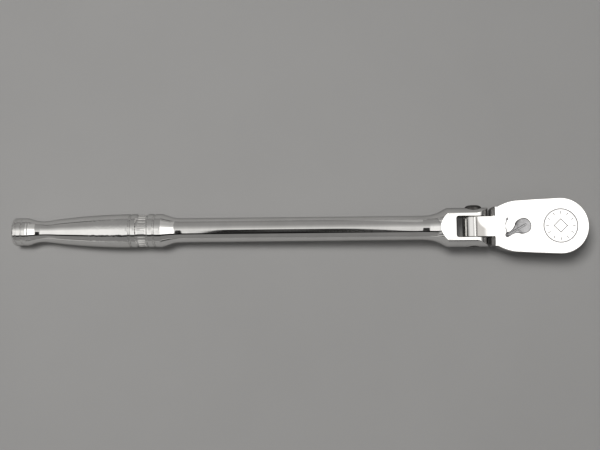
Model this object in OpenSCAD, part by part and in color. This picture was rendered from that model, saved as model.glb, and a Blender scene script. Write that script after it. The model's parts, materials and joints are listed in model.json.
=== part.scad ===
// Long flex-head ratchet wrench with a 3/8 inch square drive.
// Origin: on the drive axis, at the drive's shoulder, where a socket seats.
// +Z points to the reversing-lever side, +X to the head's round end,
// and the handle runs along -X. Millimetres.

/* [Square drive] */
// Width of the square drive across its flats
drive_af = 9.525; // [9.4:0.005:9.6]
// Length of the square below its shoulder
drive_len = 10.7; // [9:0.1:12]
// Radius of the socket-retaining ball
ball_r = 1.55; // [1.4:0.05:1.6]

/* [Head] */
// Thickness of the head, face to face
head_t = 12.2; // [12:0.1:13]
// Radius of the head's round end
head_r = 14.1; // [13.9:0.05:15]
// Gap from the socket seat up to the head's underside
seat_gap = 0.5; // [0.3:0.05:0.6]
// Half-width of the tang that enters the yoke
tang_w = 5.1; // [4.8:0.05:5.1]
// Distance from the drive axis to the flex pivot
pivot_dist = 42.6; // [42:0.1:46]
// Distance from the drive axis to the head's shoulder
shoulder_dist = 32.6; // [32:0.1:32.8]
// Radius of the knuckle round the flex pivot
knuckle_r = 5.5; // [5:0.1:6]

/* [Ratchet] */
// Number of teeth on the drive gear
teeth = 72; // [72:72:72]
// Tip radius of the gear
gear_r = 11.3; // [11.2:0.05:11.4]
// Depth of a tooth
tooth_d = 0.7; // [0.5:0.05:0.7]
// Angle of each pawl from the head's centre line
pawl_a = 30; // [30:5:30]
// How far a pawl lifts out of mesh
pawl_lift = 0.9; // [0.8:0.05:0.9]

/* [Reversing lever] */
// Distance from the drive axis to the lever's axis
lever_dist = 18.75; // [18.7:0.05:18.8]
// Radius of the lever's disc
lever_r = 3.86; // [3.6:0.02:4]
// Length from the lever's axis to the tip of its arm
lever_len = 9.95; // [9:0.05:11]
// Angle of the arm from the centre line, towards -Y
lever_a = 30; // [30:1:30]

/* [Handle] */
// Length from the drive axis to the handle's end
reach = 277.8; // [240:0.1:320]
// Radius of the shaft at mid length
shaft_r = 6.15; // [5.8:0.05:6.4]
// Radius of the knob at the handle's end
knob_r = 7.1; // [6.5:0.05:7.6]
// Greatest radius of the grip
grip_r = 8.6; // [8.2:0.05:9]
// Number of raised bars in the collar's sunk band
band_bars = 28; // [16:2:36]

/* [Yoke] */
// Radius of the yoke across its ears
yoke_r = 9.95; // [9.8:0.05:10.4]
// Half-thickness of the yoke between its flats
yoke_t = 7.25; // [7:0.05:7.5]
// Half-width of the slot between the ears
slot_w = 5.4; // [5.4:0.05:5.6]
// Radius of the pivot screw's shank
pivot_r = 3.0; // [2.6:0.1:3.2]

/* [Hidden] */
$fn = 96;

chrome = [0.82, 0.83, 0.85];
satin = [0.55, 0.56, 0.58];
black = [0.12, 0.12, 0.13];
steel = [0.62, 0.62, 0.60];
rubber = [0.08, 0.08, 0.08];

z_lo = seat_gap;                    // head's underside
z_hi = z_lo + head_t;               // head's top face
zc = z_lo + head_t / 2;             // height of the handle's axis
xp = -pivot_dist;                   // flex pivot
xs = -shoulder_dist;                // head's shoulder
xl = -lever_dist;                   // lever's axis
fit = 0.05;                         // radial clearance of a running fit

z_plate = z_lo + 1.1;               // cover plate's lower face
z_ledge = z_lo + 2.3;               // ledge that the plate seats on
z_ceil = z_lo + 9.5;                // ceiling of the gear cavity
cavity_r = gear_r + 0.4;
hub_lo_r = 8.5;
hub_hi_r = 8.0;
plate_r = 12.35;
z_gear0 = z_ledge + 0.8;
z_gear1 = z_ceil - 0.4;

// ---------- shared shapes ----------

function arc(cx, cy, r, a0, a1, n) =
    [for (i = [0:n]) let (a = a0 + (a1 - a0) * i / n)
        [cx + r * cos(a), cy + r * sin(a)]];
function flip(p) = [for (i = [len(p) - 1:-1:0]) [p[i][0], -p[i][1]]];

// A round bar along the X axis at the handle's height, from x0 to x1.
module bar_x(r, x0, x1) {
    translate([x0, 0, zc]) rotate([0, 90, 0]) cylinder(r = r, h = x1 - x0);
}

// A round pin along Y at the flex pivot, from y0 to y1.
module pin_y(r, y0, y1) {
    translate([xp, y0, zc]) rotate([-90, 0, 0]) cylinder(r = r, h = y1 - y0);
}

// A close-wound helical spring along +Z from the origin.
// The wire's section is a hexagon swept along the helix.
module coil(r, wire, h, turns, n = 10, k = 6) {
    m = turns * n;
    pitch = (h - 2 * wire) / turns;
    pts = [for (i = [0:m]) let (a = 360 * i / n)
        for (j = [0:k - 1]) let (b = 360 * j / k)
            [(r + wire * cos(b)) * cos(a), (r + wire * cos(b)) * sin(a),
             wire + pitch * i / n + wire * sin(b)]];
    side = [for (i = [0:m - 1]) for (j = [0:k - 1]) let (q = (j + 1) % k)
        each [[i * k + j, i * k + q, (i + 1) * k + q],
              [i * k + j, (i + 1) * k + q, (i + 1) * k + j]]];
    caps = [for (j = [1:k - 2]) each
        [[0, j + 1, j], [m * k, m * k + j, m * k + j + 1]]];
    polyhedron(points = pts, faces = concat(side, caps), convexity = 8);
}

// ---------- handle ----------

// Distance along the handle is measured from its end, and the stations of
// the grip are [distance from the end, radius].
hx = -reach;
grip_stations = [[7.8, knob_r - 0.25], [8.6, 6.75], [9.8, 6.25], [11.4, 5.8],
    [12.4, 5.6], [16, 5.37], [23.4, 6.32], [33.9, 7.4], [44.3, 8.16],
    [54.7, grip_r - 0.08], [58.8, grip_r]];
neck_stations = [[76.7, grip_r - 0.05], [80.5, 7.25], [82.6, 6.6],
    [85.7, 6.27], [92, shaft_r + 0.08]];
flare_stations = [[xp - 26, shaft_r - 0.03], [xp - 22, 6.4], [xp - 18.8, 7.27],
    [xp - 16.8, 8.18], [xp - 14.7, 9.37], [xp - 13.6, yoke_r - 0.1],
    [xp - 13.2, yoke_r]];

// Slope at station i of a list of [x, r] stations.
function slope(s, i) =
    i == 0 ? (s[1][1] - s[0][1]) / (s[1][0] - s[0][0])
    : i == len(s) - 1 ? (s[i][1] - s[i - 1][1]) / (s[i][0] - s[i - 1][0])
    : (s[i + 1][1] - s[i - 1][1]) / (s[i + 1][0] - s[i - 1][0]);
// A smooth curve through the stations, n steps to each gap.
function smooth(s, n = 4) =
    [for (i = [0:len(s) - 2]) for (j = [0:i == len(s) - 2 ? n : n - 1])
        let (t = j / n, d = s[i + 1][0] - s[i][0],
             m0 = slope(s, i) * d, m1 = slope(s, i + 1) * d)
        [s[i][0] + t * d,
         (2 * t ^ 3 - 3 * t ^ 2 + 1) * s[i][1] + (t ^ 3 - 2 * t ^ 2 + t) * m0
         + (3 * t ^ 2 - 2 * t ^ 3) * s[i + 1][1] + (t ^ 3 - t ^ 2) * m1]];
function shift(s, d) = [for (p = s) [p[0] + d, p[1]]];

handle_profile = concat(
    [[hx, 0], [hx, knob_r - 1.2], [hx + 0.15, knob_r - 0.7],
     [hx + 0.5, knob_r - 0.25], [hx + 1.1, knob_r]],
    // two turned grooves in the knob
    [for (g = [2.0, 4.9]) each
        [[hx + g - 0.45, knob_r], [hx + g - 0.2, knob_r - 0.5],
         [hx + g + 0.2, knob_r - 0.5], [hx + g + 0.45, knob_r]]],
    [[hx + 7.3, knob_r]],
    shift(smooth(grip_stations), hx),
    // groove, ridge, sunk band, ridge, groove: the collar
    [[hx + 60.1, grip_r], [hx + 60.4, 8.0], [hx + 61.0, 8.0], [hx + 61.3, grip_r - 0.1],
     [hx + 61.5, grip_r], [hx + 63.7, grip_r], [hx + 64.1, 7.85], [hx + 69.5, 7.85],
     [hx + 69.9, grip_r - 0.1], [hx + 70.1, grip_r - 0.05], [hx + 72.4, grip_r - 0.05],
     [hx + 72.7, 8.0], [hx + 73.3, 8.0], [hx + 73.6, grip_r - 0.05]],
    shift(smooth(neck_stations), hx),
    smooth(flare_stations),
    [[xp - 12, yoke_r], [xp - 12, 0]]);

slot_x0 = xp - 9.4;                 // bottom of the slot
slot_c = 1.2;                       // corner radius at the slot's bottom
slot_outline = concat(
    arc(slot_x0 + slot_c, -slot_w + slot_c, slot_c, 270, 180, 6),
    arc(slot_x0 + slot_c, slot_w - slot_c, slot_c, 180, 90, 6),
    [[xp + 12, slot_w], [xp + 12, -slot_w]]);

module handle_bar() color(chrome) difference() {
    union() {
        translate([0, 0, zc]) rotate([0, 90, 0]) rotate_extrude()
            polygon([for (p = handle_profile) [p[1], p[0]]]);
        bar_x(yoke_r, xp - 12.5, xp + 8);
        // raised bars in the collar's sunk band
        for (i = [0:band_bars - 1])
            translate([hx + 64.9, 0, zc]) rotate([360 * (i + 0.5) / band_bars, 0, 0])
                translate([0, -0.45, 7.4]) cube([3.8, 0.9, 0.83]);
    }
    // flats above and below the yoke, rising a little where they run out
    for (s = [0, 180])
        translate([0, 15, zc]) rotate([90, s, 0]) scale([s > 0 ? -1 : 1, 1, 1])
            linear_extrude(30) polygon([
                [xp + 16, yoke_t], [xp - 13.4, yoke_t], [xp - 16.6, yoke_t + 0.68],
                [xp - 24, yoke_t + 1.4], [xp - 24, 15], [xp + 16, 15]]);
    // slot between the ears
    translate([0, 0, zc - 10]) linear_extrude(20) polygon(slot_outline);
    // round ends of the ears
    difference() {
        translate([xp, -15, zc - 12]) cube([20, 30, 24]);
        pin_y(yoke_t + 0.05, -16, 16);
    }
    // pivot bore, and the spot-face under the screw's head
    pin_y(pivot_r + fit, -12, 12);
    pin_y(4.6, yoke_r - 0.95, yoke_r + 2);
}

// ---------- flex pivot ----------

screw_y = yoke_r - 0.95;            // seat of the screw's head
screw_h = 2.15;                     // height of the head
screw_w = 4.35;                     // radius of the head

module pivot_screw() color(black) difference() {
    translate([xp, 0, zc]) rotate([-90, 0, 0]) rotate_extrude()
        polygon(concat(
            [[0, -yoke_r + 0.35], [pivot_r - 0.5, -yoke_r + 0.35],
             [pivot_r, -yoke_r + 0.85], [pivot_r, screw_y],
             [screw_w, screw_y], [screw_w, screw_y + 0.45]],
            // domed top, as an arc of the height left above the rim
            [for (i = [1:8]) let (a = 90 * i / 8)
                [1.9 + (screw_w - 1.9) * cos(a),
                 screw_y + 0.45 + (screw_h - 0.45) * sin(a)]],
            [[0, screw_y + screw_h]]));
    // hexagon socket
    translate([xp, screw_y + 0.7, zc]) rotate([-90, 0, 0])
        cylinder(r = 1.55, h = 5, $fn = 6);
}

module friction_washers() color(steel)
    for (s = [-1, 1]) difference() {
        pin_y(5.0, s * (slot_w + tang_w) / 2 - 0.125, s * (slot_w + tang_w) / 2 + 0.125);
        pin_y(pivot_r + 0.1, -12, 12);
    }

// ---------- head ----------

side_c = [-20.4, 7.4];              // centre of the shoulder's side arcs
x_neck = xs - 1.8;                  // front of the neck, clear of the ears' round ends
neck_w = 9.9;                       // half-width of the neck
step = 1.0;                         // the tang's step, past the pivot's axis
neck_t = head_t / 2 - 2.6;          // half-thickness left at the neck's front
side_r = 20.5;
side_n = 10;
// Upper half of the head's outline, from the round end to the tang.
half_outline = concat(
    arc(0, 0, head_r, 0, 92.8, 28),
    [[-6, head_r - 0.26], [-13.3, head_r - 0.56]],
    // round shoulder, one arc centred across the centre line
    [for (i = [0:side_n]) let (x = side_c[0] + (xs + 1.3 - side_c[0]) * i / side_n)
        [x, sqrt(side_r ^ 2 - (x - side_c[0]) ^ 2) - side_c[1]]],
    // short neck as wide as the yoke, its rounded corner, then the fillet to the tang
    arc(x_neck + 1.3, neck_w - 1.3, 1.3, 90, 180, 6),
    arc(x_neck - 1, tang_w + 1, 1, 0, -90, 6),
    [[xp, tang_w]]);
head_outline = concat(half_outline, flip(half_outline));

module plate_outline(e) {
    circle(r = plate_r + e);
    polygon([[-5, 11.0 + e], [-14.4, 11.1 + e], [-21.5, 8.3 + e], [-28.6 - e, 3.9 + e],
        [-31 - e, 1.6], [-31 - e, -1.6],
        [-28.6 - e, -3.9 - e], [-21.5, -8.3 - e], [-14.4, -11.1 - e], [-5, -11.0 - e]]);
}

// Half-width of a pawl, its back face and its foot, in its own frame:
// x runs out along the pawl's slide, y across it towards the centre line.
pawl_w = 2.6;
pawl_back = 15.25;
foot_in = 13.95;
foot_tip = 5.3;
pawl_c = 0.05;

// Places a shape drawn in a pawl's own frame. side = 1 is the +Y pawl.
module at_pawl(side, lift = 0) {
    mirror([0, side > 0 ? 0 : 1, 0]) rotate([0, 0, 180 - pawl_a])
        translate([lift, 0, 0]) children();
}

z_detent = zc + 1.1;
r_detent = 4.95;                    // detent ball's distance from the lever's axis
x_screw = -27.4;

module emblem(r0, r1) {
    // generic mark: a plain ring and a ring of short ticks round a square
    difference() { circle(r = r1); circle(r = r0); }
    for (a = [0:30:330]) rotate(a) translate([r0 - 2.2, -0.22]) square([1.5, 0.44]);
    rotate(45) difference() {
        square(5.2, center = true);
        square(4.2, center = true);
    }
}

// A curved arrow about the origin, its head at the end a1.
module curved_arrow(r, a0, a1) {
    s = a1 > a0 ? 1 : -1;
    w = 0.26;
    tip = 95 / r;
    polygon(concat(arc(0, 0, r + w, a0, a1 - s * tip, 8),
        [[(r + 0.9) * cos(a1 - s * tip), (r + 0.9) * sin(a1 - s * tip)],
         [r * cos(a1), r * sin(a1)],
         [(r - 0.9) * cos(a1 - s * tip), (r - 0.9) * sin(a1 - s * tip)]],
        arc(0, 0, r - w, a1 - s * tip, a0, 8)));
}

module head_body() color(chrome) difference() {
    union() {
        translate([0, 0, z_lo]) linear_extrude(head_t) difference() {
            polygon(head_outline);
            translate([xp - 5, -8]) square([5 + step, 16]);
        }
        pin_y(knuckle_r, -tang_w, tang_w);
    }
    pin_y(pivot_r + fit, -12, 12);
    for (s = [-1, 1]) {
        // sloped face from the head's faces down to the neck's front, beside the tang
        for (t = [-1, 1]) translate([0, s * (tang_w + 4) + 4, zc]) rotate([90, 0, 0])
            linear_extrude(8) polygon([[xs + 0.2, t * (head_t / 2 + 0.289)], [x_neck, t * neck_t],
                [xp + 4, t * neck_t], [xp + 4, t * 9], [xs + 0.2, t * 9]]);
        // relief groove where the knuckle meets the tang's step
        translate([xp + step - 0.2, 8, zc + s * (knuckle_r + 0.1)]) rotate([90, 0, 0]) cylinder(r = 0.45, h = 16, $fn = 32);
    }
    // gear cavity, and the blind bore of the gear's upper hub
    translate([0, 0, z_ledge - 0.5]) cylinder(r = cavity_r, h = z_ceil - z_ledge + 0.5);
    translate([0, 0, z_ceil - 1]) cylinder(r = hub_hi_r + fit, h = 2.3);
    // recess of the cover plate, and the snap ring's groove
    translate([0, 0, z_lo - 1]) linear_extrude(z_ledge - z_lo + 1) plate_outline(0.06);
    translate([0, 0, z_plate - 0.75]) cylinder(r = 13.0, h = 0.75);
    // guides of the two pawls, with room for their feet, and their springs' bores
    for (s = [-1, 1]) at_pawl(s) {
        translate([9, -pawl_w - pawl_c, z_ledge - 0.5])
            cube([pawl_back + pawl_lift + 0.1 - 9, 2 * (pawl_w + pawl_c), z_ceil - z_ledge + 0.5]);
        translate([foot_in - 0.5, 0, z_ledge - 0.5])
            cube([pawl_back + pawl_lift + 0.6 - foot_in, foot_tip + 0.4, z_ceil - z_ledge + 0.5]);
        translate([15, 0, zc]) rotate([0, 90, 0]) cylinder(r = 1.2, h = 5.2);
    }
    // pocket of the lever's cam
    translate([xl, 0, z_ledge - 0.5]) cylinder(r = 4.7, h = z_ceil - z_ledge + 0.5);
    intersection() {
        translate([xl, 0, z_ledge - 0.5]) cylinder(r = 5.4, h = z_ceil - z_ledge + 0.5);
        translate([xl + 1, -8, z_ledge - 1]) cube([8, 16, 12]);
    }
    // bore of the lever's stem, its seal's groove, and the sunk seat of its disc
    translate([xl, 0, z_ceil - 1]) cylinder(r = 3.0 + fit, h = 5);
    translate([xl, 0, z_hi - 1.95]) cylinder(r = 4.25, h = 1.25);
    translate([xl, 0, z_hi - 0.4]) cylinder(r = lever_r + 0.3, h = 2);
    // detent's bore, and the tapped hole of the cover's screw
    translate([xl - 4, 0, z_detent]) rotate([0, -90, 0]) cylinder(r = 1.2, h = 7.4);
    translate([x_screw, 0, z_ledge - 1]) cylinder(r = 1.3, h = 4.2);
    // shallow engraved marks on the top face
    translate([0, 0, z_hi - 0.2]) linear_extrude(1) emblem(8.05, 8.65);
    for (s = [-1, 1]) translate([xl, 0, z_hi - 0.15]) linear_extrude(1)
        mirror([0, s > 0 ? 0 : 1, 0]) curved_arrow(8.6, 176, 148);
}

module cover_plate() color(steel) difference() {
    translate([0, 0, z_plate]) linear_extrude(z_ledge - z_plate) plate_outline(0);
    translate([0, 0, z_plate - 1]) cylinder(r = hub_lo_r + fit, h = 5);
    translate([x_screw, 0, z_plate - 0.01]) cylinder(r1 = 2.7, r2 = 1.6, h = 1.1);
    translate([x_screw, 0, z_plate - 1]) cylinder(r = 1.6, h = 5);
}

module retaining_ring() color(steel) translate([0, 0, z_plate - 0.68]) linear_extrude(0.6)
    difference() {
        union() {
            difference() {
                circle(r = 12.93);
                circle(r = 11.7);
                polygon([[0, 0], [-30, 21.5], [-30, -21.5]]);
            }
            for (s = [-1, 1]) rotate(s * 143) translate([11.35, 0]) circle(r = 1.1, $fn = 32);
        }
        for (s = [-1, 1]) rotate(s * 143) translate([11.2, 0]) circle(r = 0.55, $fn = 24);
    }

module cover_screw() color(black) difference() {
    translate([x_screw, 0, 0]) rotate_extrude() polygon([
        [0, z_plate + 0.05], [2.6, z_plate + 0.05], [1.5, z_plate + 1.0],
        [1.25, z_plate + 1.15], [1.25, z_ledge + 2.6], [0.9, z_ledge + 2.9], [0, z_ledge + 2.9]]);
    for (a = [0, 90]) translate([x_screw, 0, z_plate]) rotate(a)
        translate([-1.5, -0.25, -0.5]) cube([3, 0.5, 1.1]);
}

// ---------- drive ----------

half_pitch = 180 / teeth;
function gear_tooth(i) = let (a = 360 * i / teeth, q = half_pitch / 2.5)
    [for (p = [[-0.5, gear_r], [0.5, gear_r], [2.0, gear_r - tooth_d], [3.0, gear_r - tooth_d]])
        [p[1] * cos(a + p[0] * q), p[1] * sin(a + p[0] * q)]];

module ball_hole(r, x0, x1)
    translate([x0, 0, -drive_len / 2]) rotate([0, 90, 0]) cylinder(r = r, h = x1 - x0);

module drive_gear() color(chrome) difference() {
    union() {
        translate([0, 0, z_gear0]) linear_extrude(z_gear1 - z_gear0)
            polygon([for (i = [0:teeth - 1]) each gear_tooth(i)]);
        cylinder(r = hub_lo_r, h = z_gear0 + 1);
        translate([0, 0, z_gear1 - 1]) cylinder(r = hub_hi_r, h = 2.6);
        // square with broken corners and a turned chamfer at its tip
        intersection() {
            translate([0, 0, -drive_len]) linear_extrude(drive_len + 1) intersection() {
                square(drive_af, center = true);
                rotate(45) square(drive_af * sqrt(2) - 0.9, center = true);
            }
            translate([0, 0, -drive_len]) rotate_extrude() polygon([[0, 0],
                [drive_af / 2 - 0.4, 0], [drive_af * 0.72, 1.5],
                [drive_af * 0.72, drive_len + 1], [0, drive_len + 1]]);
        }
    }
    ball_hole(ball_r + fit, 0.2, drive_af / 2 - 0.3);
    ball_hole(ball_r - 0.05, 1, drive_af);
}

module thrust_washer() color(steel) difference() {
    translate([0, 0, z_gear1 + 0.05]) cylinder(r = 10.3, h = 0.3);
    cylinder(r = hub_hi_r + 0.15, h = 30);
}

module drive_seal() color(rubber) translate([0, 0, z_ledge + 0.38]) rotate_extrude()
    translate([hub_lo_r + 0.4, 0]) circle(r = 0.33, $fn = 32);

module drive_ball() color(steel)
    translate([drive_af / 2 - 0.8, 0, -drive_len / 2]) sphere(r = ball_r);

module drive_ball_spring() color(steel)
    translate([0.25, 0, -drive_len / 2]) rotate([0, 90, 0])
        coil(r = 1.0, wire = 0.17, h = drive_af / 2 - 0.8 - ball_r - 0.02, turns = 4);

// ---------- pawls ----------

// Toothed inner edge of a pawl, which fills the gaps between gear teeth with
// a small clearance at each flank.
function pawl_tooth(i) = let (a = 5 * i)
    [for (p = [[-1.7, gear_r + 0.07], [-0.15, gear_r - tooth_d + 0.1],
               [0.15, gear_r - tooth_d + 0.1], [1.7, gear_r + 0.07]])
        [p[1] * cos(a + p[0]), p[1] * sin(a + p[0])]];

module pawl() difference() {
    union() {
        intersection() {
            translate([0, 0, z_ledge + 0.3]) linear_extrude(z_ceil - z_ledge - 0.6)
                polygon(concat([[pawl_back, -4], [11, -4]],
                    [for (i = [-2.5:1:2.5]) each pawl_tooth(i)],
                    [[11, 4], [pawl_back, 4]]));
            translate([5, -pawl_w, 0]) cube([pawl_back, 2 * pawl_w, 20]);
        }
        // foot that the cam's nose pushes on
        translate([foot_in, 0, z_ledge + 0.3])
            cube([pawl_back - foot_in, foot_tip, z_ceil - z_ledge - 0.6]);
    }
    // seat of the spring
    translate([pawl_back - 1.5, 0, zc]) rotate([0, 90, 0]) cylinder(r = 1.2, h = 5);
}

module pawl_spring(lift) translate([pawl_back - 1.5 + lift, 0, zc]) rotate([0, 90, 0])
    coil(r = 0.9, wire = 0.18, h = 20.1 - (pawl_back - 1.5 + lift), turns = 5);

module forward_pawl() color(steel) at_pawl(-1) pawl();
module reverse_pawl() color(steel) at_pawl(1, pawl_lift) pawl();
module forward_pawl_spring() color(steel) at_pawl(-1) pawl_spring(0.02);
module reverse_pawl_spring() color(steel) at_pawl(1) pawl_spring(pawl_lift + 0.02);

// ---------- reversing lever ----------

z_cam0 = z_ledge + 1.8;
z_cam1 = z_ceil - 0.8;
stem_sq = 3.2;
// Half-widths of the lever's arm, as [distance from its axis, half-width].
arm = smooth([[0, 3.2], [2.6, 2.75], [3.9, 1.95], [5.2, 1.3], [6.6, 1.06], [lever_len - 1.95, 1.06]], 3);

module reverse_lever() color(satin) translate([xl, 0, 0]) difference() {
    union() {
        // disc, with a broken top edge
        rotate_extrude() polygon([[0, z_hi - 0.35], [lever_r, z_hi - 0.35], [lever_r, z_hi + 0.95],
            [lever_r - 0.3, z_hi + 1.25], [0, z_hi + 1.25]]);
        // arm, waisted between the disc and a round tip
        rotate(180 + lever_a) translate([0, 0, z_hi + 0.12]) linear_extrude(1.1)
            polygon(concat([for (q = arm) [q[0], -q[1]]],
                arc(lever_len - 1.22, 0, 1.22, -70, 70, 10),
                [for (i = [len(arm) - 1:-1:0]) arm[i]]));
        // raised ridge along the arm
        rotate(180 + lever_a) translate([-1.6, -0.5, z_hi + 1]) cube([lever_len + 0.3, 1.0, 1.0]);
        // stem, squared for the cam, with a turned end for the clip
        translate([0, 0, z_cam1]) cylinder(r = 3.0, h = z_hi - z_cam1);
        rotate(lever_a) translate([-stem_sq / 2, -stem_sq / 2, z_cam0]) cube([stem_sq, stem_sq, 6]);
        translate([0, 0, z_ledge + 0.5]) cylinder(r = 1.5, h = 3);
    }
    translate([0, 0, z_cam0 - 0.52]) difference() {
        cylinder(r = 2, h = 0.5);
        translate([0, 0, -1]) cylinder(r = 1.15, h = 3);
    }
}

module lever_cam() color(steel) translate([xl, 0, 0]) rotate(lever_a) difference() {
    translate([0, 0, z_cam0]) linear_extrude(z_cam1 - z_cam0 - 0.03) union() {
        circle(r = 2.9);
        // nose that lifts a pawl
        polygon([[0, -1.4], [4.4, -0.66], [4.4, 0.66], [0, 1.4]]);
        translate([4.4, 0]) circle(r = 0.7, $fn = 48);
        // round back, on which the detent ball rides
        intersection() {
            circle(r = 4.4);
            polygon([[0, 0], [-2.2, 8], [-8, 8], [-8, -8], [-2.2, -8]]);
        }
    }
    translate([-stem_sq / 2 - 0.03, -stem_sq / 2 - 0.03, 0]) cube([stem_sq + 0.06, stem_sq + 0.06, 12]);
    translate([0, 0, z_detent]) rotate_extrude() translate([r_detent, 0]) circle(r = 1.25, $fn = 48);
}

module lever_clip() color(steel) translate([xl, 0, z_cam0 - 0.49]) linear_extrude(0.44)
    difference() {
        circle(r = 2.5, $fn = 64);
        circle(r = 1.18, $fn = 48);
        translate([0, -0.9]) square([4, 1.8]);
    }

module lever_seal() color(rubber) translate([xl, 0, z_hi - 1.32]) rotate_extrude()
    translate([3.63, 0]) circle(r = 0.58, $fn = 32);

module detent_ball() color(steel)
    translate([xl - r_detent, 0, z_detent]) sphere(r = 1.15, $fn = 48);

module detent_spring() color(steel)
    translate([xl - r_detent - 1.18, 0, z_detent]) rotate([0, -90, 0])
        coil(r = 0.85, wire = 0.16, h = 5.2, turns = 5);

handle_bar();
pivot_screw();
friction_washers();
head_body();
cover_plate();
retaining_ring();
cover_screw();
drive_gear();
thrust_washer();
drive_seal();
drive_ball();
drive_ball_spring();
forward_pawl();
reverse_pawl();
forward_pawl_spring();
reverse_pawl_spring();
reverse_lever();
lever_cam();
lever_clip();
lever_seal();
detent_ball();
detent_spring();
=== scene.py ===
import bpy, bmesh, json, math
from mathutils import Vector, Matrix


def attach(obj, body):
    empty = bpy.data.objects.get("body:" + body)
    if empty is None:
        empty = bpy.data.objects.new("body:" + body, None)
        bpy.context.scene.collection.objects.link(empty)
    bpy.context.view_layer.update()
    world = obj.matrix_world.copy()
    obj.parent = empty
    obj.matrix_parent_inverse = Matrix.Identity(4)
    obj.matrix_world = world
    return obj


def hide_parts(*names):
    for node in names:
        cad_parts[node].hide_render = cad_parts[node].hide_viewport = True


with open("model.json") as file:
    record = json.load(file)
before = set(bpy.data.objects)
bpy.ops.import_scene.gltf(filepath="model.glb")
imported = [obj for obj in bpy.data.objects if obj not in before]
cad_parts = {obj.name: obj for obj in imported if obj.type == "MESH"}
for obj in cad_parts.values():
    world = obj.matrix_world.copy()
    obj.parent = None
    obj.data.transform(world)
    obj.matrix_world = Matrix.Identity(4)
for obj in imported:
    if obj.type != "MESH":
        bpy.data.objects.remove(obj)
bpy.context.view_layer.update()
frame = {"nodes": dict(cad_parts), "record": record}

D = bpy.data
S = bpy.context.scene
MM = 0.001

# ------------------------------------------------------------------ nodes

def nt(mat):
    mat.use_nodes = True
    t = mat.node_tree
    t.nodes.clear()
    return t

def add(t, kind, **kw):
    n = t.nodes.new(kind)
    for k, v in kw.items():
        if k.startswith("i_"):
            n.inputs[k[2:].replace("_", " ")].default_value = v
        else:
            setattr(n, k, v)
    return n

def grey(c):
    return (*c, 1) if isinstance(c, tuple) else (c, c, c, 1)

def ramp(t, stops, fac=None, interp="LINEAR"):
    n = t.nodes.new("ShaderNodeValToRGB")
    n.color_ramp.interpolation = interp
    e = n.color_ramp.elements
    while len(e) > 1:
        e.remove(e[-1])
    e[0].position, e[0].color = stops[0][0], grey(stops[0][1])
    for p, c in stops[1:]:
        e.new(p).color = grey(c)
    if fac is not None:
        t.links.new(fac, n.inputs["Fac"])
    return n.outputs["Color"]

def math_(t, op, a, b=None, c=None, clamp=False):
    n = t.nodes.new("ShaderNodeMath")
    n.operation, n.use_clamp = op, clamp
    for i, v in enumerate((a, b, c)):
        if v is None:
            continue
        if isinstance(v, (int, float)):
            n.inputs[i].default_value = v
        else:
            t.links.new(v, n.inputs[i])
    return n.outputs["Value"]

def remap(t, v, a, b, lo=0.0, hi=1.0, smooth=False):
    n = t.nodes.new("ShaderNodeMapRange")
    n.interpolation_type = "SMOOTHSTEP" if smooth else "LINEAR"
    for k, x in (("Value", v), ("From Min", a), ("From Max", b), ("To Min", lo), ("To Max", hi)):
        if isinstance(x, (int, float)):
            n.inputs[k].default_value = x
        else:
            t.links.new(x, n.inputs[k])
    return n.outputs["Result"]

def noise(t, vec, scale, detail=5.0, rough=0.6, stretch=None):
    if stretch:
        m = add(t, "ShaderNodeMapping")
        m.inputs["Scale"].default_value = stretch
        t.links.new(vec, m.inputs["Vector"])
        vec = m.outputs["Vector"]
    n = add(t, "ShaderNodeTexNoise", i_Scale=scale, i_Detail=detail, i_Roughness=rough)
    t.links.new(vec, n.inputs["Vector"])
    return n.outputs["Fac"]

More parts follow.
